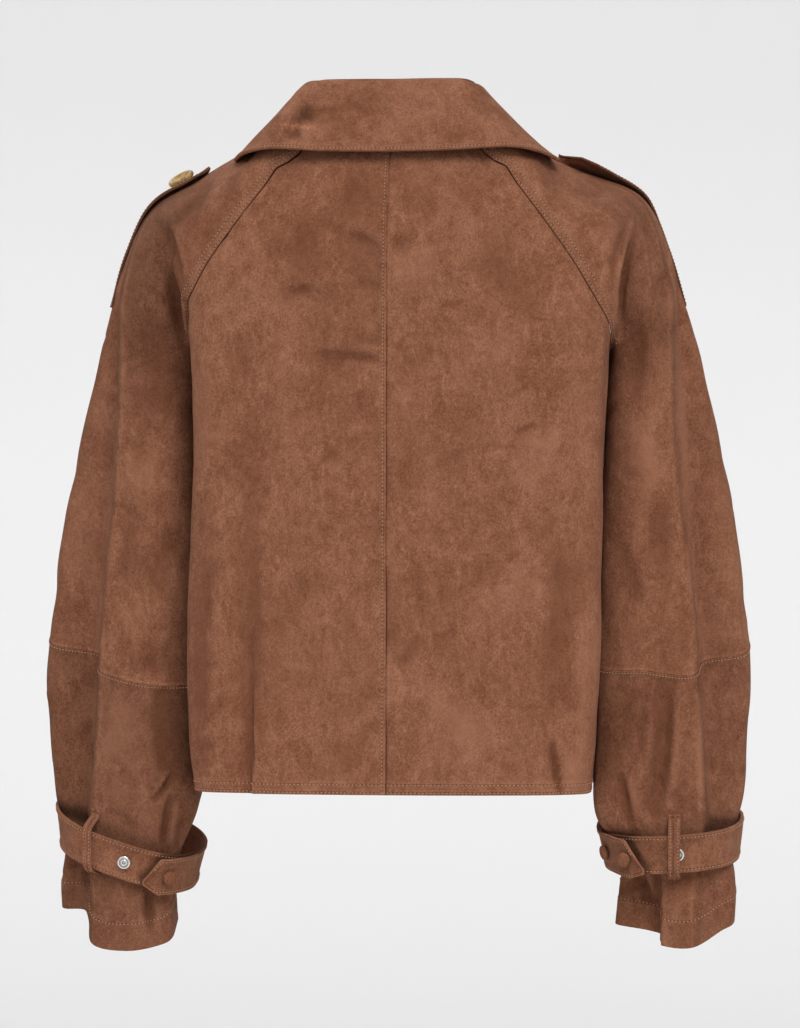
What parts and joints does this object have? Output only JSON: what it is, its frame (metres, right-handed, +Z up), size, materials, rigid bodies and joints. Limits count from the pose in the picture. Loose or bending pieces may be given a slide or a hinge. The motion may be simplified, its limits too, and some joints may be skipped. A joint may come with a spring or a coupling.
{
  "type": "suede jacket",
  "caption": "Cropped suede jacket in its worn shape, with raglan sleeves, a spread collar, epaulettes and cuff straps, open and hollow at neck, hem and cuffs.",
  "frame": {"origin": "the nape: the middle of the neck opening, level with the neck seam at the centre back", "axes": "+Z up, -Y towards the front of the jacket, +X towards the wearer's left arm"},
  "size_m": [0.5791, 0.2526, 0.7059],
  "materials": {
    "suede": "soft napped brown suede",
    "horn": "smooth amber horn-like plastic",
    "steel": "plain bright nickel-coloured metal"
  },
  "bodies": {
    "root": {"back_left": "suede", "back_right": "suede", "collar_fall": "suede", "collar_stand": "suede", "covered_button_left_1": "suede", "covered_button_right_1": "suede", "covered_button_right_2": "suede", "cuff_strap_left": "suede", "cuff_strap_right": "suede", "epaulette_button_left": "horn", "epaulette_button_right": "horn", "epaulette_left": "suede", "epaulette_right": "suede", "front_button_1": "horn", "front_button_2": "horn", "front_button_3": "horn", "front_button_4": "horn", "front_left": "suede", "front_right": "suede", "press_stud_left": "steel", "press_stud_right": "steel", "sleeve_lower_left": "suede", "sleeve_lower_right": "suede", "sleeve_upper_left": "suede", "sleeve_upper_right": "suede", "strap_loop_left": "suede", "strap_loop_right": "suede"}
  },
  "joints": []
}
